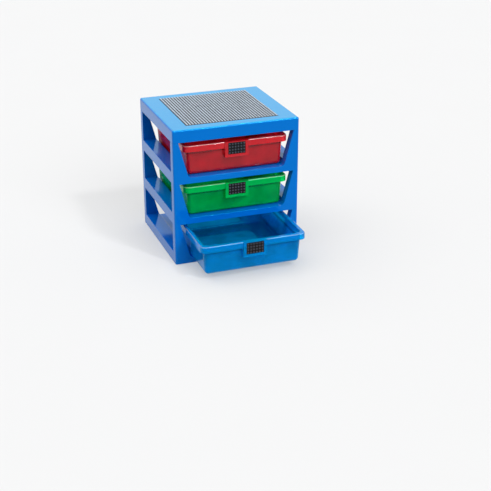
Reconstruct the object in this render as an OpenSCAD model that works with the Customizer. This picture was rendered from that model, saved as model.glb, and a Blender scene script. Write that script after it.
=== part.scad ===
// Drawer rack for building bricks: three identical moulded tiers under a studded cap,
// with one translucent drawer in each tier. Millimetres. Front faces -Y, +Z is up, and
// the origin is the middle of the rack's footprint.

/* [Rack] */
// Width of the rack across its sides
rack_w = 350; // [340:1:360]
// Depth of the rack from front to back
rack_d = 320; // [318:1:326]
// Height of one tier
tier_h = 113.5; // [110:0.5:120]
// Height of the cap on top
cap_h = 34.5; // [28:0.5:42]
// Thickness of the moulded walls
wall = 3; // [2.5:0.1:3.5]
// Depth of the ribs inside the cap
cap_rib_h = 6; // [4:0.5:12]
// Radius of the rack's upright corners and the cap's top edge
corner_r = 5; // [4:0.5:8]

/* [Drawer openings] */
// Height of the rail under an opening, which is also the shelf's level
rail_h = 16; // [14:0.5:18]
// Width of an opening at the top of its tier
opening_top_w = 319; // [316:1:322]
// Lean of the opening's sides, in degrees
opening_slant = 15; // [12:0.5:16]
// Radius of the opening's lower corners
opening_r = 12; // [8:1:14]

/* [Side windows] */
// Depth of a corner post, from the front or back to the window
post_d = 23; // [20:1:26]
// Height of the ledge under a side window, above the tier's base
sill_h = 30.5; // [28:0.5:34]

/* [Shelf] */
// Width of a shelf hole
hole_w = 172; // [150:1:180]
// Length of a shelf hole from front to back
hole_l = 101; // [80:1:104]
// Corner radius of a shelf hole
hole_r = 25; // [15:1:30]
// Width of the bar between the two holes
hole_bar = 54; // [48:1:60]
// Depth of the rims and ribs below the shelf
shelf_rim_h = 8; // [6:0.5:9]
// Height of the rib that stops the drawer at the back
stop_h = 4; // [3:0.5:5]
// Length of the stop rib
stop_l = 120; // [80:5:160]

/* [Tier pegs] */
// Height of the pegs that locate the next tier
peg_h = 6; // [4:0.5:7]
// Clearance between a peg and the walls around it
peg_gap = 0.3; // [0.2:0.05:0.5]

/* [Drawer] */
// Width of a drawer across its rim
tub_w = 290; // [284:1:292]
// Depth of a drawer across its rim
tub_d = 313; // [310:1:314]
// Height of a drawer
tub_h = 85; // [80:1:88]
// Thickness of the drawer's walls
tub_wall = 2.5; // [2:0.1:3]
// How far the rim overhangs each side
rim_side = 8.5; // [7:0.5:10]
// How far the rim overhangs the front and the back
rim_end = 8.5; // [7:0.5:10]
// Height of the skirt that hangs from the rim
skirt_h = 17; // [14:0.5:19]
// Radius of the rim's upright corners
rim_corner_r = 16; // [14:1:18]
// Radius of the rim's top edge
rim_edge_r = 3.5; // [2:0.5:4]
// How far each wall leans inwards, in degrees
tub_lean = 4; // [2:0.5:5]
// Radius of the body's lower corners and edges
tub_base_r = 11; // [9:1:13]
// Clearance under a drawer
slide_gap = 0.2; // [0.1:0.1:0.5]
// How far a closed drawer's rim sits behind the rack's front
drawer_recess = 4; // [3.5:0.5:5]
// How far the blue drawer is drawn out
blue_out = 140; // [0:5:150]

/* [Stud plates] */
// Distance between stud centres
stud_pitch = 8; // [8:1:8]
// Radius of a stud
stud_r = 2.4; // [2.3:0.05:2.5]
// Height of a stud
stud_h = 1.7; // [1.5:0.1:1.8]
// Thickness of a plate without its studs
plate_t = 3.2; // [2.8:0.1:3.4]
// Studs along each side of the plate on top
cap_studs = 32; // [30:2:32]
// Studs across the plate on a drawer
front_studs_x = 6; // [4:1:8]
// Studs up the plate on a drawer
front_studs_z = 4; // [3:1:4]
// Clearance around a plate in its pocket
plate_gap = 0.2; // [0.1:0.05:0.3]

/* [Plate frame] */
// Width of the frame beside a drawer's plate
frame_side = 8.5; // [6:0.5:10]
// Width of the frame below a drawer's plate
frame_low = 7.5; // [5:0.5:8]
// Width of the frame above a drawer's plate
frame_top = 2.5; // [2.5:0.5:7]
// How far the frame stands proud of the skirt
frame_proud = 3.2; // [2.8:0.1:3.2]
// How far a plate's face sits behind the frame's
plate_recess = 1; // [0:0.1:1]

/* [Hidden] */
$fn = 48;
eps = 0.5;

front_y = -rack_d / 2;
opening_h = tier_h - rail_h;
opening_low_w = opening_top_w - 2 * tan(opening_slant) * opening_h;
// Centre of the arc in the opening's lower right corner, seen from the front
arc_x = opening_low_w / 2 + opening_r * tan(opening_slant) - opening_r / cos(opening_slant);
arc_z = rail_h + opening_r;
window_l = rack_d - 2 * post_d;
hole_y = (hole_bar + hole_l) / 2;
cap_z = 3 * tier_h;
cap_plate_w = cap_studs * stud_pitch;

tub_y = front_y + drawer_recess + tub_d / 2;
body_w = tub_w - 2 * rim_side;
body_d = tub_d - 2 * rim_end;
rim_z = tub_h - skirt_h;
// Radius of the body's upright corners at the rim, where each wall's cone ends
tub_corner_r = tub_base_r / cos(tub_lean) + (tub_h - tub_base_r) * tan(tub_lean);
// Axes of the body's upright corners, in tenths of a millimetre so that its pieces meet
tub_corner_x = round(10 * (body_w / 2 - tub_corner_r)) / 10;
tub_corner_y = round(10 * (body_d / 2 - tub_corner_r)) / 10;
// Where the stop rib meets the rounded lower edge of a closed drawer's body
stop_reach = sqrt(pow(tub_base_r, 2) - pow(tub_base_r - stop_h, 2));
stop_y = tub_y + tub_corner_y + stop_reach + 2 * slide_gap;

front_plate_w = front_studs_x * stud_pitch;
front_plate_h = front_studs_z * stud_pitch;
frame_w = front_plate_w + 2 * frame_side;
frame_h = front_plate_h + frame_low + frame_top;
frame_depth = rim_end + tub_wall / 2 + frame_h * tan(tub_lean);
pocket_depth = plate_t + plate_recess;
plate_low_z = tub_h - frame_top - front_plate_h;

rack_blue = [0.02, 0.36, 0.84];
plate_grey = [0.52, 0.53, 0.55];
plate_black = [0.07, 0.07, 0.08];

// ---- shared shapes ----

// A rectangle with round corners, centred
module round_rect(w, d, r) {
    square([w - 2 * r, d], center = true);
    square([w, d - 2 * r], center = true);
    for (x = [-1, 1], y = [-1, 1])
        translate([x * (w / 2 - r), y * (d / 2 - r)])
            circle(r);
}

// A block with round upright corners, standing on z = 0
module round_block(w, d, h, r) {
    linear_extrude(h)
        round_rect(w, d, r);
}

// A solid whose sides follow one outline all round. The outline's X = 0 is the axis of an
// upright corner, and its middle is filled from low_z to high_z.
module wrapped_block(corner_x, corner_y, low_z, high_z) {
    translate([-corner_x, -corner_y, low_z])
        cube([2 * corner_x, 2 * corner_y, high_z - low_z]);
    for (turn = [0, 180])
        rotate(turn) {
            translate([corner_x, corner_y, 0])
                rotate([90, 0, 0])
                    linear_extrude(2 * corner_y)
                        children();
            translate([-corner_x, corner_y, 0])
                rotate([90, 0, 90])
                    linear_extrude(2 * corner_x)
                        children();
            translate([corner_x, corner_y, 0])
                rotate_extrude(angle = 90)
                    children();
            translate([-corner_x, corner_y, 0])
                rotate(90)
                    rotate_extrude(angle = 90)
                        children();
        }
}

// The side outline of a block with a round top edge, out to r
module soft_top_outline(h, r, edge) {
    intersection() {
        union() {
            square([r, h - edge]);
            translate([r - edge, h - edge])
                circle(edge);
            if (r > edge)
                square([r - edge, h]);
        }
        square([r, h]);
    }
}

// A block with round upright corners and a round top edge, standing on z = 0
module soft_top_block(w, d, h, r, edge) {
    wrapped_block(w / 2 - r, d / 2 - r, 0, h)
        soft_top_outline(h, r, edge);
}

// A grid of studs, standing on z = 0 and centred
module studs(nx, ny) {
    for (i = [0 : nx - 1], j = [0 : ny - 1])
        translate([(i - (nx - 1) / 2) * stud_pitch, (j - (ny - 1) / 2) * stud_pitch, -eps])
            cylinder(r = stud_r, h = stud_h + eps, $fn = 24);
}

// A flat plate with studs on top, its underside on z = 0
module stud_plate(nx, ny) {
    translate([-nx * stud_pitch / 2, -ny * stud_pitch / 2, 0])
        cube([nx * stud_pitch, ny * stud_pitch, plate_t]);
    translate([0, 0, plate_t])
        studs(nx, ny);
}

// ---- rack ----

// The opening seen from the front, widened by grow on every side and open at the top
module opening_outline(grow) {
    r = opening_r + grow;
    tangent_x = arc_x + r * cos(opening_slant);
    tangent_z = arc_z - r * sin(opening_slant);
    high_z = tier_h + 2 * eps;
    high_x = tangent_x + (high_z - tangent_z) * tan(opening_slant);
    polygon([
        [-arc_x, arc_z - r], [arc_x, arc_z - r], [tangent_x, tangent_z], [high_x, high_z],
        [-high_x, high_z], [-tangent_x, tangent_z]
    ]);
    for (side = [-1, 1])
        translate([side * arc_x, arc_z])
            circle(r);
}

// A front outline run through the rack from front to back
module run_through(length) {
    translate([0, length / 2, 0])
        rotate([90, 0, 0])
            linear_extrude(length)
                children();
}

// The space under the tier's skin, open at the base
module tier_hollow() {
    difference() {
        translate([0, 0, -eps])
            round_block(rack_w - 2 * wall, rack_d - 2 * wall, tier_h - wall + eps, corner_r - wall);
        run_through(rack_d)
            opening_outline(wall);
        translate([-rack_w / 2, -window_l / 2 - wall, sill_h - wall])
            cube([rack_w, window_l + 2 * wall, tier_h]);
    }
}

// Rims around the shelf holes and the ribs between them, below the shelf
module shelf_ribs() {
    low_z = rail_h - shelf_rim_h;
    rib_h = shelf_rim_h - wall / 2;
    rib_l = rack_d / 2 - hole_y;
    for (side = [-1, 1]) {
        translate([0, side * hole_y, low_z])
            round_block(hole_w + 2 * wall, hole_l + 2 * wall, rib_h, hole_r + wall);
        for (x = [-1, 1])
            translate([x * hole_w / 4 - wall / 2, side * (hole_y + rib_l / 2) - rib_l / 2, low_z])
                cube([wall, rib_l, rib_h]);
    }
    translate([-arc_x, -wall / 2, low_z])
        cube([2 * arc_x, wall, rib_h]);
}

module shelf_holes() {
    for (side = [-1, 1])
        translate([0, side * hole_y, -eps])
            round_block(hole_w, hole_l, tier_h, hole_r);
}

// Pegs on the post tops that sit inside the walls of the tier above
module tier_pegs() {
    peg_w = rack_w / 2 - wall - peg_gap - opening_top_w / 2 - 1.5 * wall;
    peg_l = post_d - 2 * wall;
    for (x = [-1, 1], y = [-1, 1])
        translate([
            x * (rack_w / 2 - wall - peg_gap - peg_w / 2),
            y * (rack_d / 2 - wall - peg_gap - peg_l / 2),
            tier_h - eps
        ])
            round_block(peg_w, peg_l, peg_h + eps, corner_r - wall - peg_gap);
}

module tier() {
    difference() {
        union() {
            difference() {
                round_block(rack_w, rack_d, tier_h, corner_r);
                tier_hollow();
            }
            shelf_ribs();
        }
        run_through(rack_d + 2 * eps)
            opening_outline(0);
        translate([-rack_w / 2 - eps, -window_l / 2, sill_h])
            cube([rack_w + 2 * eps, window_l, tier_h]);
        shelf_holes();
    }
    tier_pegs();
    translate([-stop_l / 2, stop_y, rail_h - eps])
        cube([stop_l, wall, stop_h + eps]);
}

module bottom_tier() {
    color(rack_blue)
        tier();
}

module middle_tier() {
    color(rack_blue)
        translate([0, 0, tier_h])
            tier();
}

module top_tier() {
    color(rack_blue)
        translate([0, 0, 2 * tier_h])
            tier();
}

// The cap: hollow below, with a pocket in its top for the stud plate
module top_cap() {
    pocket_w = cap_plate_w + 2 * plate_gap;
    skin_z = cap_h - plate_t - wall;
    rib_pitch = cap_plate_w / 3;
    rib_low_z = skin_z - cap_rib_h;
    color(rack_blue)
        translate([0, 0, cap_z]) {
            difference() {
                soft_top_block(rack_w, rack_d, cap_h, corner_r, corner_r);
                translate([0, 0, -eps])
                    round_block(rack_w - 2 * wall, rack_d - 2 * wall, skin_z + eps, corner_r - wall);
                translate([-pocket_w / 2, -pocket_w / 2, cap_h - plate_t])
                    cube([pocket_w, pocket_w, cap_h]);
            }
            for (i = [-1 : 1]) {
                translate([i * rib_pitch - wall / 2, -rack_d / 2 + wall / 2, rib_low_z])
                    cube([wall, rack_d - wall, cap_rib_h + eps]);
                translate([-rack_w / 2 + wall / 2, i * rib_pitch - wall / 2, rib_low_z])
                    cube([rack_w - wall, wall, cap_rib_h + eps]);
            }
        }
}

module cap_stud_plate() {
    color(plate_grey)
        translate([0, 0, cap_z + cap_h - plate_t])
            stud_plate(cap_studs, cap_studs);
}

// ---- drawers ----

// One side of the body's outline, from the middle of the lower corner's arc outwards and
// up to high_z, taken in by inset
module tub_side_outline(inset, high_z) {
    r = tub_base_r - inset;
    tangent_x = r * cos(tub_lean);
    tangent_z = tub_base_r - r * sin(tub_lean);
    intersection() {
        union() {
            translate([0, tub_base_r])
                circle(r);
            polygon([
                [0, tub_base_r], [tangent_x, tangent_z],
                [tangent_x + (high_z - tangent_z) * tan(tub_lean), high_z], [0, high_z]
            ]);
        }
        square([body_w, high_z]);
    }
}

// The body with leaning walls and a round base, taken in by inset on every side
module tub_body(inset, high_z) {
    wrapped_block(tub_corner_x, tub_corner_y, inset, high_z)
        tub_side_outline(inset, high_z);
}

// Everything that stands out beyond the body: rim, skirt and plate frame
module tub_rim() {
    frame_y = -tub_d / 2 - frame_proud;
    difference() {
        union() {
            translate([0, 0, rim_z])
                soft_top_block(tub_w, tub_d, skirt_h, rim_corner_r, rim_edge_r);
            translate([-frame_w / 2, frame_y, tub_h - frame_h])
                cube([frame_w, frame_proud + frame_depth, frame_h]);
        }
        translate([0, 0, rim_z - eps])
            round_block(
                tub_w - 2 * tub_wall, tub_d - 2 * tub_wall,
                skirt_h - tub_wall + eps, rim_corner_r - tub_wall
            );
        translate([-frame_w / 2 + tub_wall, frame_y + pocket_depth + tub_wall, tub_h - frame_h - eps])
            cube([frame_w - 2 * tub_wall, frame_proud + frame_depth, frame_h - tub_wall + eps]);
        translate([-front_plate_w / 2 - plate_gap, frame_y - eps, plate_low_z - plate_gap])
            cube([front_plate_w + 2 * plate_gap, pocket_depth + eps, front_plate_h + 2 * plate_gap]);
    }
}

// One drawer, standing on z = 0 and centred on its rim
module tub() {
    difference() {
        union() {
            tub_body(0, tub_h - tub_wall / 2);
            tub_rim();
        }
        tub_body(tub_wall, tub_h + 1);
    }
}

// Puts a drawer's piece in the given tier, drawn out by out
module in_tier(tier_number, out) {
    translate([0, tub_y - out, tier_number * tier_h + rail_h + slide_gap])
        children();
}

module front_stud_plate() {
    color(plate_black)
        translate([0, -tub_d / 2 - frame_proud + pocket_depth, plate_low_z + front_plate_h / 2])
            rotate([90, 0, 0])
                stud_plate(front_studs_x, front_studs_z);
}

module red_drawer() {
    color([0.82, 0.05, 0.08, 0.7])
        in_tier(2, 0)
            tub();
}

module red_stud_plate() {
    in_tier(2, 0)
        front_stud_plate();
}

module green_drawer() {
    color([0.0, 0.62, 0.22, 0.7])
        in_tier(1, 0)
            tub();
}

module green_stud_plate() {
    in_tier(1, 0)
        front_stud_plate();
}

module blue_drawer() {
    color([0.0, 0.45, 0.85, 0.7])
        in_tier(0, blue_out)
            tub();
}

module blue_stud_plate() {
    in_tier(0, blue_out)
        front_stud_plate();
}

bottom_tier();
middle_tier();
top_tier();
top_cap();
cap_stud_plate();
red_drawer();
red_stud_plate();
green_drawer();
green_stud_plate();
blue_drawer();
blue_stud_plate();
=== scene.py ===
"""Drawer rack for building bricks: blue moulded tiers, a studded cap and three clear drawers."""
import math
from collections import namedtuple

import bmesh
import bpy
from mathutils import Matrix, Vector


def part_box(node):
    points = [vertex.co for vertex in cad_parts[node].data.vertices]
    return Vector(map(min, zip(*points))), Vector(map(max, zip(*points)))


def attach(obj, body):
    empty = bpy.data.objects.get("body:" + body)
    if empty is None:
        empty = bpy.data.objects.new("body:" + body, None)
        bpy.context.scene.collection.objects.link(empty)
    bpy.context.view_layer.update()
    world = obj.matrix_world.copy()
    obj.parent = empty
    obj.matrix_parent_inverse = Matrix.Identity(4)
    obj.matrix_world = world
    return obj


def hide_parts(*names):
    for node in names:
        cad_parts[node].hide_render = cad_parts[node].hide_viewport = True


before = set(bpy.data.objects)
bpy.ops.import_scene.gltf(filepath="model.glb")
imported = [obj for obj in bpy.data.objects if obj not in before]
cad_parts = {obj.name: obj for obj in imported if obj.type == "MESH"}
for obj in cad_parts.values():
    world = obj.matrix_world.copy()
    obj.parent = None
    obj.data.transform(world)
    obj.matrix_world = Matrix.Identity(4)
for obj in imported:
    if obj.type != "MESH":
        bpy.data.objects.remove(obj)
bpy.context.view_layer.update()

# ---- sizes, in metres ----

MM = 0.001
# The smallest distance that counts when places are compared
HAIR = 0.05 * MM

TIERS = ["bottom_tier", "middle_tier", "top_tier"]
RACK_BODY = "rack"
# Height of a shelf's lower face above the base of its tier
SHELF_SKIN_Z = 13 * MM
# Scuffs on the rack's feet are full at the first height and gone at the second
SCUFF_HEIGHTS = (2 * MM, 26 * MM)

SKIRT_HEIGHT = 17 * MM
# The frame around the plate on a drawer: its width, its height, and how far back it reaches
FRAME_WIDTH = 65 * MM
FRAME_HEIGHT = 42 * MM
FRAME_REACH = 12 * MM
# Painted shade on a drawer's walls starts and is full at these distances below its skirt
SHADED_BAND = (12 * MM, 4 * MM)
# The painted shade on a drawer's floor fades out between these heights above its underside
TUB_FLOOR_ENDS = (8 * MM, 12 * MM)

STUD_PITCH = 8 * MM
STUD_RADIUS = 2.4 * MM
STUD_HEIGHT = 1.7 * MM
STUD_SIDES = 16
STUD_EDGE = 0.3 * MM
# A stud's painted highlight fades out between these depths below its top
STUD_COLOUR_ENDS = (0.4 * STUD_HEIGHT, 0.8 * STUD_HEIGHT)
PLATE_THICKNESS = 3.2 * MM
PLATE_EDGE = 0.25 * MM
CAP_STUDS = (32, 32)
FRONT_STUDS = (6, 4)

# Points closer than this are joined, and so are faces that turn less than this
MERGE_DISTANCE = 0.01 * MM
FLAT_ANGLE = math.radians(0.6)
# An edge that turns more than this is rounded, and is shaded sharp where it isn't
SHARP_ANGLE = math.radians(32)
LIP_RADIUS = 2.6 * MM
WINDOW_RADIUS = 1.4 * MM
SEAM_RADIUS = 1.0 * MM
RIM_RADIUS = 1.6 * MM
FINE_RADIUS = 0.8 * MM

FLOOR_SIZE = 60
FLOOR_DROP = 4 * HAIR

CAMERA_AT = Vector((-0.8975, -2.6830, 1.2351))
CAMERA_TURN_DEGREES = -20.05
CAMERA_ELEVATION_DEGREES = 24.23
LENS_MM = 79.1
SENSOR_MM = 36.0

# ---- colours ----

RACK_BLUE = (0.000, 0.140, 0.610, 1.0)
# Painted light: the paler blue painted on the rack's top face
LIT_TOP_BLUE = (0.016, 0.290, 0.600, 1.0)
SCUFF_BLUE = (0.160, 0.300, 0.580, 1.0)
RACK_SHEEN = (0.050, 0.800, 1.000, 1.0)
# Painted highlight and painted shade: the pale grey painted on stud tops and the dark grey painted between
# them
LIT_STUD_GREY = (0.480, 0.560, 0.650, 1.0)
SHADED_PLATE_GREY = (0.014, 0.015, 0.019, 1.0)
FRONT_PLATE_BLACK = (0.008, 0.009, 0.012, 1.0)
FLOOR_WHITE = (0.880, 0.885, 0.890, 1.0)
WALL_WHITE = (0.900, 0.905, 0.910, 1.0)
WHITE = (1.0, 1.0, 1.0, 1.0)

# The see-through plastic of a drawer: clearness is how much light it lets through, and the last number is
# how much painted shade darkens its floor, both from 0 to 1
Clear = namedtuple("Clear", "colour sheen clearness floor_shade")
CLEAR_PLASTICS = {
    "red": Clear((0.930, 0.008, 0.022, 1.0), (1.000, 0.800, 0.900, 1.0), 0.62, 0.60),
    "green": Clear((0.000, 0.760, 0.140, 1.0), (0.000, 1.000, 0.700, 1.0), 0.62, 0.60),
    "blue": Clear((0.000, 0.470, 0.960, 1.0), (0.000, 0.700, 1.000, 1.0), 0.72, 0.10),
}


def shade(colour, factor):
    """A colour made darker or lighter, and fully opaque."""
    return tuple(channel * factor for channel in colour[:3]) + (1.0,)


# ---- shader sums ----


class Link:
    """A shader socket that takes part in Python sums and products."""

    def __init__(self, shader, socket):
        self.shader = shader
        self.socket = socket

    def math(self, operation, first, second):
        return self.shader.node("ShaderNodeMath", {"operation": operation}, {0: first, 1: second})

    def __add__(self, other):
        return self.math("ADD", self, other)

    def __rsub__(self, other):
        return self.math("SUBTRACT", other, self)

    def __mul__(self, other):
        return self.math("MULTIPLY", self, other)

    __radd__ = __add__
    __rmul__ = __mul__

    def either(self, other):
        """The larger of two values, and so the union of two masks."""
        return self.math("MAXIMUM", self, other)


class Shader:
    """The node tree of a material or a world, filled from Python."""

    def __init__(self, owner):
        owner.use_nodes = True
        self.owner = owner
        self.tree = owner.node_tree
        self.tree.nodes.clear()

    def node(self, kind, settings=None, inputs=None, output=0):
        """Adds a node, sets it up, fills its sockets with values or links, and returns one output."""
        made = self.tree.nodes.new(kind)
        for key, value in (settings or {}).items():
            setattr(made, key, value)
        for key, value in (inputs or {}).items():
            if isinstance(value, Link):
                self.tree.links.new(value.socket, made.inputs[key])
            else:
                made.inputs[key].default_value = value
        return Link(self, made.outputs[output]) if made.outputs else None

    def noise(self, scale, detail, stretch=(1.0, 1.0, 1.0)):
        """Noise from 0 to 1 in object space, with scale in cells per metre."""
        place = self.node("ShaderNodeTexCoord", output="Object")
        stretched = self.node("ShaderNodeMapping", {}, {"Vector": place, "Scale": stretch})
        return self.node("ShaderNodeTexNoise", {}, {"Vector": stretched, "Scale": scale, "Detail": detail})

    def ramp(self, value, low, high):
        """0 where value is below low, 1 above high, and smooth between them."""
        return self.node("ShaderNodeMapRange", {"interpolation_type": "SMOOTHSTEP"},
                         {"Value": value, "From Min": low, "From Max": high})

    def above(self, axis, low, high):
        """0 where an object coordinate is below low, 1 above high, and smooth between them."""
        place = self.node("ShaderNodeTexCoord", output="Object")
        return self.ramp(self.node("ShaderNodeSeparateXYZ", {}, {0: place}, output=axis), low, high)

    def below(self, axis, low, high):
        """1 where an object coordinate is below low, 0 above high, and smooth between them."""
        return 1 - self.above(axis, low, high)

    def upward(self, low, high):
        """0 where the surface normal's Z is below low, 1 above high, and smooth between them."""
        facing = self.node("ShaderNodeNewGeometry", output="Normal")
        return self.ramp(self.node("ShaderNodeSeparateXYZ", {}, {0: facing}, output="Z"), low, high)

    def mix(self, factor, first, second):
        """The first colour where factor is 0, and the second where it is 1."""
        # A Mix node's colour sockets are 6 and 7, and its colour output is 2
        return self.node("ShaderNodeMix", {"data_type": "RGBA"}, {0: factor, 6: first, 7: second}, output=2)

    def varied(self, mask, colour, at_zero, at_one):
        """A colour times at_zero where mask is 0, times at_one where it is 1, and smooth between them."""
        return self.mix(mask, shade(colour, at_zero), shade(colour, at_one))

    def bump(self, height, depth, strength):
        return self.node("ShaderNodeBump", {}, {"Height": height, "Distance": depth, "Strength": strength})

    def seen(self):
        """1 on rays that show the surface, also mirrored or through plastic, and 0 on all others."""
        direct, mirrored, through = [
            self.node("ShaderNodeLightPath", output="Is " + kind + " Ray")
            for kind in ("Camera", "Glossy", "Transmission")
        ]
        return direct.either(mirrored).either(through)

    def plastic(self, inputs):
        """Ends a material with one Principled surface."""
        surface = self.node("ShaderNodeBsdfPrincipled", {}, inputs)
        self.node("ShaderNodeOutputMaterial", {}, {"Surface": surface})
        return self.owner


# ---- finishes ----


def rack_plastic():
    """Glossy blue moulding with faint flow clouds, fine rubbing, scuffed feet and a top painted paler, as
    painted light from above.
    """
    shader = Shader(bpy.data.materials.new("rack_plastic"))
    clouds = shader.noise(scale=7.0, detail=3.0)
    rubbing = shader.noise(scale=38.0, detail=6.0, stretch=(1.0, 3.0, 1.0))
    speckles = shader.ramp(shader.noise(scale=210.0, detail=4.0), 0.52, 0.72)
    scuffs = speckles * shader.below("Z", *SCUFF_HEIGHTS)
    waves = shader.noise(scale=55.0, detail=1.0)
    grain = shader.noise(scale=1500.0, detail=2.0)
    top_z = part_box("top_cap")[1].z
    # Painted light: the top face is painted a paler blue, as if lit from above
    top = shader.upward(0.7, 0.9) * shader.above("Z", top_z - 3 * MM, top_z - 1 * MM)
    moulded = shader.varied(clouds, RACK_BLUE, 0.93, 1.07)
    painted_lit_top = shader.mix(top * (0.8 + 0.3 * rubbing), moulded, LIT_TOP_BLUE)
    return shader.plastic({
        "Base Color": shader.mix(0.2 * scuffs, painted_lit_top, SCUFF_BLUE),
        "Roughness": 0.07 + 0.08 * rubbing + 0.2 * scuffs,
        "Normal": shader.bump(waves + 0.12 * grain, depth=0.12 * MM, strength=0.3),
        "IOR": 1.6,
        "Specular Tint": RACK_SHEEN,
    })


def cap_plate_plastic():
    """Grey moulding: stud tops painted pale as a painted highlight, over a floor between them painted
    darker as painted shade.
    """
    shader = Shader(bpy.data.materials.new("cap_plate_plastic"))
    rubbing = shader.noise(scale=24.0, detail=5.0)
    grain = shader.noise(scale=1600.0, detail=2.0)
    top_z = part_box("cap_stud_plate")[1].z
    colour_ends = [top_z - depth for depth in reversed(STUD_COLOUR_ENDS)]
    # Painted highlight: the stud tops are painted a paler grey, with random tone
    painted_stud_highlight = shader.varied(rubbing, LIT_STUD_GREY, 0.86, 1.14)
    return shader.plastic({
        "Base Color": shader.mix(shader.above("Z", *colour_ends), SHADED_PLATE_GREY, painted_stud_highlight),
        "Roughness": 0.22 + 0.14 * rubbing,
        "Normal": shader.bump(grain, depth=0.03 * MM, strength=0.2),
        "IOR": 1.45,
    })


def front_plate_plastic(colour_name):
    """Black glossy moulding: stud tops painted grey as a painted highlight, and the plate between them
    painted darker as painted shade.
    """
    shader = Shader(bpy.data.materials.new(colour_name + "_front_plate_plastic"))
    rubbing = shader.noise(scale=90.0, detail=5.0)
    grain = shader.noise(scale=1600.0, detail=2.0)
    front_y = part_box(colour_name + "_stud_plate")[0].y
    colour_ends = [front_y + depth for depth in STUD_COLOUR_ENDS]
    # Painted highlight: the stud tops are painted grey, and the plate behind them is painted darker as
    # painted shade
    painted_stud_highlight = shader.varied(rubbing, FRONT_PLATE_BLACK, 4.0, 8.0)
    return shader.plastic({
        "Base Color": shader.mix(shader.above("Y", *colour_ends), painted_stud_highlight, shade(FRONT_PLATE_BLACK, 0.7)),
        "Roughness": 0.16 + 0.16 * rubbing,
        "Normal": shader.bump(grain, depth=0.03 * MM, strength=0.2),
        "IOR": 1.45,
        "Specular IOR Level": 0.2,
    })


def thick_plastic(shader, low, high):
    """1 on a drawer's skirt and on the frame around its plate, where two walls lie behind each other, and
    which are painted lighter as painted light.
    """
    skirt_z = high.z - SKIRT_HEIGHT
    frame_z = high.z - FRAME_HEIGHT
    frame_back = low.y + FRAME_REACH
    skirt = shader.above("Z", skirt_z - 1 * MM, skirt_z)
    plate_frame = (
        shader.above("X", -FRAME_WIDTH / 2 - HAIR, -FRAME_WIDTH / 2)
        * shader.below("X", FRAME_WIDTH / 2, FRAME_WIDTH / 2 + HAIR)
        * shader.above("Z", frame_z - HAIR, frame_z)
        * shader.below("Y", frame_back, frame_back + HAIR)
    )
    return skirt.either(plate_frame)


def clear_plastic(colour_name):
    """Coloured see-through moulding: glossy and cloudy, with a painted highlight along the rim edges,
    painted shade on the floor and below the skirt, and a skirt and plate frame painted lighter as painted
    light.
    """
    shader = Shader(bpy.data.materials.new(colour_name + "_clear_plastic"))
    clear = CLEAR_PLASTICS[colour_name]
    low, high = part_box(colour_name + "_drawer")
    clouds = shader.noise(scale=21.0, detail=3.0)
    rubbing = shader.noise(scale=50.0, detail=6.0, stretch=(1.0, 1.0, 3.0))
    grain = shader.noise(scale=900.0, detail=2.0)

    thick = thick_plastic(shader, low, high)
    # Painted light: the skirt and plate frame are painted lighter than the walls below them, which also
    # vary in random tone
    thin_colour = shader.varied(shader.ramp(clouds, 0.32, 0.68), clear.colour, 0.77, 1.00)
    lit_thick_colour = shader.varied(clouds, clear.colour, 1.00, 1.04)
    moulded = shader.mix(thick, thin_colour, lit_thick_colour)

    # Painted shade: the drawer's floor is painted darker
    tub_floor = shader.upward(0.5, 0.9) * shader.below("Z", *[low.z + height for height in TUB_FLOOR_ENDS])
    skirt_z = high.z - SKIRT_HEIGHT
    # Painted shadow: a band just below the skirt is painted darker
    under_skirt = shader.above("Z", *[skirt_z - drop for drop in SHADED_BAND]) * (1 - thick)
    painted_shade_mask = (clear.floor_shade * tub_floor).either(0.6 * under_skirt)
    shaded = shader.mix(painted_shade_mask, moulded, shade(clear.colour, 0.25))

    # Painted highlight: a pale band along the rim's rounded edges
    painted_rim_highlight = (
        shader.above("Z", high.z - 4 * MM, high.z - 3 * MM)
        * shader.upward(0.3, 0.6)
        * (1 - shader.upward(0.85, 0.98))
    )
    return shader.plastic({
        "Base Color": shader.mix(0.6 * painted_rim_highlight, shaded, shade(WHITE, 0.9)),
        "Roughness": 0.07 + 0.12 * rubbing,
        "Normal": shader.bump(grain, depth=0.03 * MM, strength=0.15),
        "IOR": 1.45,
        "Specular Tint": clear.sheen,
        "Transmission Weight": clear.clearness,
    })


# ---- modelling helpers ----


def deselect_all():
    if bpy.context.object and bpy.context.object.mode != "OBJECT":
        bpy.ops.object.mode_set(mode="OBJECT")
    bpy.ops.object.select_all(action="DESELECT")


def make_active(piece):
    deselect_all()
    piece.select_set(True)
    bpy.context.view_layer.objects.active = piece


def apply_modifier(piece, kind, **settings):
    make_active(piece)
    modifier = piece.modifiers.new(kind.lower(), kind)
    for key, value in settings.items():
        setattr(modifier, key, value)
    bpy.ops.object.modifier_apply(modifier=modifier.name)


def open_mesh(piece):
    """Puts a piece in edit mode and returns its mesh."""
    make_active(piece)
    bpy.ops.object.mode_set(mode="EDIT")
    return bmesh.from_edit_mesh(piece.data)


def close_mesh(piece):
    bmesh.update_edit_mesh(piece.data)
    bpy.ops.object.mode_set(mode="OBJECT")


def select_open_edges(piece):
    """Selects the edges with a face on one side only, on a piece in edit mode."""
    bpy.ops.mesh.select_all(action="DESELECT")
    for edge in bmesh.from_edit_mesh(piece.data).edges:
        if edge.is_boundary:
            edge.select_set(True)


def bevel_weights(mesh):
    """The layer that says how much of a bevel's width each edge of a mesh takes."""
    layers = mesh.edges.layers.float
    return layers.get("bevel_weight_edge") or layers.new("bevel_weight_edge")


def smooth(piece):
    make_active(piece)
    bpy.ops.object.shade_smooth_by_angle(angle=SHARP_ANGLE)


def near(value, target):
    """Whether two coordinates are the same but for rounding."""
    return abs(value - target) < 2 * HAIR


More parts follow.
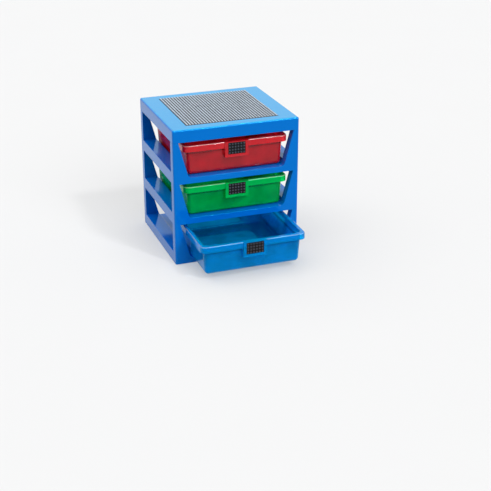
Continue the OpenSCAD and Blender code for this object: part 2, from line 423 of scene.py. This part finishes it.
def copy_of_node(node):
    """A copy of a CAD node with its triangles joined into flat faces."""
    piece = bpy.data.objects.new(node + "_copy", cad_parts[node].data.copy())
    bpy.context.scene.collection.objects.link(piece)
    open_mesh(piece)
    bpy.ops.mesh.select_all(action="SELECT")
    bpy.ops.mesh.remove_doubles(threshold=MERGE_DISTANCE)
    bpy.ops.mesh.dissolve_limited(angle_limit=FLAT_ANGLE)
    close_mesh(piece)
    return piece


def round_edges(piece, widest, radius_at, segments):
    """Rounds each sharp edge by radius_at(the middle of the edge), which is never more than widest."""
    mesh = open_mesh(piece)
    weights = bevel_weights(mesh)
    for edge in mesh.edges:
        if len(edge.link_faces) == 2 and edge.calc_face_angle(0.0) > SHARP_ANGLE:
            edge[weights] = radius_at((edge.verts[0].co + edge.verts[1].co) / 2) / widest
    close_mesh(piece)
    apply_modifier(piece, "BEVEL", width=widest, segments=segments, limit_method="WEIGHT",
                   offset_type="OFFSET", use_clamp_overlap=True, miter_outer="MITER_ARC")
    smooth(piece)
    apply_modifier(piece, "WEIGHTED_NORMAL", keep_sharp=True, weight=90)


def finish_piece(piece, name, node, body, material):
    """Names a piece, gives it its finish and puts it in place of its CAD node."""
    piece.name = name
    piece.data.name = name
    piece.data.materials.clear()
    piece.data.materials.append(material)
    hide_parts(node)
    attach(piece, body)


# ---- the rack ----


def add_tier(node, material):
    """A tier with round lips at the front and back, and finer edges at its seams, windows and holes."""
    low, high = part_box(node)
    tier_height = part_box("top_cap")[0].z / len(TIERS)
    post_top = low.z + tier_height

    def radius_at(middle):
        if near(middle.z, low.z) or near(middle.z, post_top):
            return SEAM_RADIUS
        if near(abs(middle.y), high.y):
            return LIP_RADIUS
        if middle.z < low.z + SHELF_SKIN_Z + HAIR or middle.z > post_top:
            return 0.0
        if near(abs(middle.x), high.x):
            return WINDOW_RADIUS
        return FINE_RADIUS

    piece = copy_of_node(node)
    round_edges(piece, LIP_RADIUS, radius_at, segments=4)
    finish_piece(piece, "rack_" + node, node, RACK_BODY, material)


def add_cap(material):
    """The cap, with the seam below it and the edge of its pocket rounded."""
    low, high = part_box("top_cap")

    def radius_at(middle):
        return SEAM_RADIUS if near(middle.z, low.z) or near(middle.z, high.z) else 0.0

    piece = copy_of_node("top_cap")
    round_edges(piece, SEAM_RADIUS, radius_at, segments=2)
    finish_piece(piece, "rack_cap", "top_cap", RACK_BODY, material)


# ---- plates with studs ----


def stud_tile():
    """One stud on its square of plate, open below, with a corner of the square over the origin."""
    deselect_all()
    bpy.ops.mesh.primitive_circle_add(vertices=STUD_SIDES, radius=STUD_RADIUS)
    tile = bpy.context.object
    open_mesh(tile)
    bpy.ops.mesh.select_all(action="SELECT")
    bpy.ops.mesh.extrude_edges_move(TRANSFORM_OT_translate={"value": (0, 0, STUD_HEIGHT - STUD_EDGE)})
    bpy.ops.mesh.extrude_edges_move(TRANSFORM_OT_translate={"value": (0, 0, STUD_EDGE)})
    narrowed = 1 - STUD_EDGE / STUD_RADIUS
    bpy.ops.transform.resize(value=(narrowed, narrowed, 1))
    bpy.ops.mesh.edge_face_add()
    select_open_edges(tile)
    bpy.ops.mesh.extrude_edges_move()
    half = STUD_PITCH / 2
    for vertex in bmesh.from_edit_mesh(tile.data).verts:
        if vertex.select:
            vertex.co *= half / max(abs(vertex.co.x), abs(vertex.co.y))
    close_mesh(tile)
    tile.data.transform(Matrix.Translation((half, half, PLATE_THICKNESS)))
    return tile


def plate_with_studs(columns, rows):
    """A plate that lies down with a corner at the origin and its outer top edge bevelled."""
    plate = stud_tile()
    for count, step in ((columns, (STUD_PITCH, 0, 0)), (rows, (0, STUD_PITCH, 0))):
        apply_modifier(plate, "ARRAY", count=count, use_relative_offset=False, use_constant_offset=True,
                       constant_offset_displace=step, use_merge_vertices=True,
                       merge_threshold=MERGE_DISTANCE)
    open_mesh(plate)
    select_open_edges(plate)
    bpy.ops.mesh.extrude_edges_move(TRANSFORM_OT_translate={"value": (0, 0, -PLATE_THICKNESS)})
    bpy.ops.mesh.edge_face_add()
    bpy.ops.mesh.select_all(action="SELECT")
    bpy.ops.mesh.normals_make_consistent(inside=False)

    def on_top_edge(place):
        to_side = min(place.x, place.y, columns * STUD_PITCH - place.x, rows * STUD_PITCH - place.y)
        return near(place.z, PLATE_THICKNESS) and to_side < HAIR

    mesh = bmesh.from_edit_mesh(plate.data)
    weights = bevel_weights(mesh)
    for edge in mesh.edges:
        if all(on_top_edge(vertex.co) for vertex in edge.verts):
            edge[weights] = 1.0
    close_mesh(plate)
    apply_modifier(plate, "BEVEL", width=PLATE_EDGE, segments=2, limit_method="WEIGHT")
    smooth(plate)
    return plate


def add_stud_plate(name, node, stud_counts, turn, body, material):
    """A plate with its studs, turned from lying down and moved into the node's box."""
    plate = plate_with_studs(*stud_counts)
    plate.data.transform(turn)
    corners = [vertex.co for vertex in plate.data.vertices]
    lowest = Vector(min(corner[axis] for corner in corners) for axis in range(3))
    plate.data.transform(Matrix.Translation(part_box(node)[0] - lowest))
    finish_piece(plate, name, node, body, material)


# ---- drawers ----


def add_drawer(colour_name, material):
    """A drawer with its rim's edges rounder than the others."""
    node = colour_name + "_drawer"
    rim_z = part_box(node)[1].z

    def radius_at(middle):
        return RIM_RADIUS if near(middle.z, rim_z) else FINE_RADIUS

    piece = copy_of_node(node)
    round_edges(piece, RIM_RADIUS, radius_at, segments=3)
    finish_piece(piece, colour_name + "_tub", node, colour_name + "_unit",
                 material)


# ---- floor, light and camera ----


def add_floor():
    """A pale floor that looks white, yet bounces less light back up than it shows."""
    shader = Shader(bpy.data.materials.new("floor"))
    seen = shader.seen()
    shown = shader.varied(shader.noise(scale=3.0, detail=4.0), FLOOR_WHITE, 0.985, 1.015)
    lit = shader.node("ShaderNodeBsdfDiffuse", {}, {"Color": shader.varied(seen, WHITE, 0.35, 0.42)})
    glow = shader.node("ShaderNodeEmission", {}, {"Color": shown, "Strength": 0.37 * seen})
    both = shader.node("ShaderNodeAddShader", {}, {0: lit, 1: glow})
    shader.node("ShaderNodeOutputMaterial", {}, {"Surface": both})
    deselect_all()
    bpy.ops.mesh.primitive_plane_add(size=FLOOR_SIZE)
    ground = bpy.context.object
    ground.name = "floor"
    ground.data.transform(Matrix.Translation((0, 0, -FLOOR_DROP)))
    ground.data.materials.append(shader.owner)


def add_world():
    """Plain white where it is seen or mirrored, and soft even light elsewhere."""
    sky = bpy.data.worlds.new("studio")
    bpy.context.scene.world = sky
    shader = Shader(sky)
    light = shader.node("ShaderNodeBackground", {}, {
        "Color": WALL_WHITE,
        "Strength": 0.45 + 0.55 * shader.seen(),
    })
    shader.node("ShaderNodeOutputWorld", {}, {"Surface": light})


def add_sun(name, towards, strength, width):
    """Even light from one direction; width is how wide the light looks, in degrees."""
    data = bpy.data.lights.new(name, "SUN")
    data.energy = strength
    data.angle = math.radians(width)
    sun = bpy.data.objects.new(name, data)
    bpy.context.scene.collection.objects.link(sun)
    sun.rotation_mode = "QUATERNION"
    sun.rotation_quaternion = Vector(towards).to_track_quat("Z", "Y")


def add_lights():
    """A wide light from above and behind, a faint one from the left, and two from the front."""
    add_sun("window_light", towards=(-0.20, 0.24, 0.95), strength=2.0, width=80)
    add_sun("side_light", towards=(-0.93, -0.10, 0.35), strength=0.3, width=60)
    add_sun("front_light", towards=(0.20, -0.82, 0.55), strength=1.3, width=34)
    add_sun("edge_light", towards=(0.318, -0.58, 0.75), strength=0.8, width=7)


def add_camera():
    data = bpy.data.cameras.new("camera")
    data.lens = LENS_MM
    data.sensor_width = SENSOR_MM
    eye = bpy.data.objects.new("camera", data)
    bpy.context.scene.collection.objects.link(eye)
    eye.location = CAMERA_AT
    tilt = math.radians(90 - CAMERA_ELEVATION_DEGREES)
    eye.rotation_euler = (tilt, 0, math.radians(CAMERA_TURN_DEGREES))
    bpy.context.scene.camera = eye


def build():
    bpy.context.scene.view_settings.view_transform = "Standard"
    add_camera()
    add_world()
    add_lights()
    add_floor()
    blue = rack_plastic()
    for node in TIERS:
        add_tier(node, blue)
    add_cap(blue)
    lying = Matrix.Identity(4)
    facing_front = Matrix.Rotation(math.radians(90), 4, "X")
    add_stud_plate("cap_studs", "cap_stud_plate", CAP_STUDS, lying, RACK_BODY,
                   cap_plate_plastic())
    for colour_name in CLEAR_PLASTICS:
        add_drawer(colour_name, clear_plastic(colour_name))
        add_stud_plate(colour_name + "_front_studs", colour_name + "_stud_plate", FRONT_STUDS, facing_front,
                       colour_name + "_unit", front_plate_plastic(colour_name))


build()
